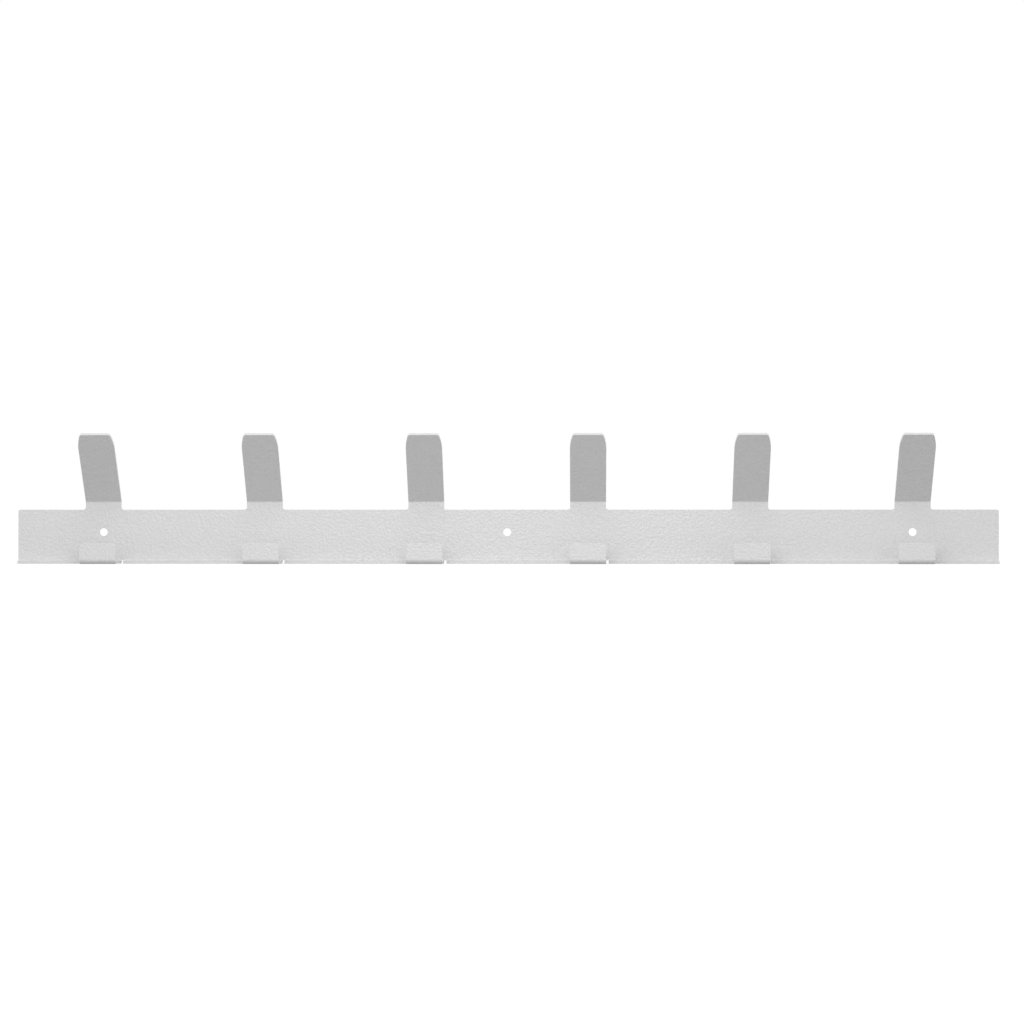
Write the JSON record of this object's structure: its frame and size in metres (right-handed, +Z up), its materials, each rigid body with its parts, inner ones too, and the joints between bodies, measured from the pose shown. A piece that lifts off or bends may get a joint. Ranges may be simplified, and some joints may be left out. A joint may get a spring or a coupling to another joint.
{
  "type": "wall hook rack",
  "caption": "Wall hook rack folded from one powder-coated steel sheet: a bar with tilted prongs above for coats and small upturned hooks below for keys or straps.",
  "frame": {"origin": "centre of the middle screw hole, on the bar's wall side", "axes": "+X along the bar, to the right for someone facing its front; +Y into the wall, so the front faces -Y; +Z up"},
  "size_m": [0.606, 0.0419, 0.0797],
  "materials": {
    "powder_coat": "light silver-grey powder coat, fine texture, satin"
  },
  "bodies": {
    "root": {"back_plate": "powder_coat", "upper_prong_1": "powder_coat", "upper_prong_2": "powder_coat", "upper_prong_3": "powder_coat", "upper_prong_4": "powder_coat", "upper_prong_5": "powder_coat", "upper_prong_6": "powder_coat", "lower_hook_1": "powder_coat", "lower_hook_2": "powder_coat", "lower_hook_3": "powder_coat", "lower_hook_4": "powder_coat", "lower_hook_5": "powder_coat", "lower_hook_6": "powder_coat", "ledge_1": "powder_coat", "ledge_2": "powder_coat", "ledge_3": "powder_coat", "ledge_4": "powder_coat", "ledge_5": "powder_coat", "ledge_6": "powder_coat", "ledge_7": "powder_coat"}
  },
  "joints": []
}
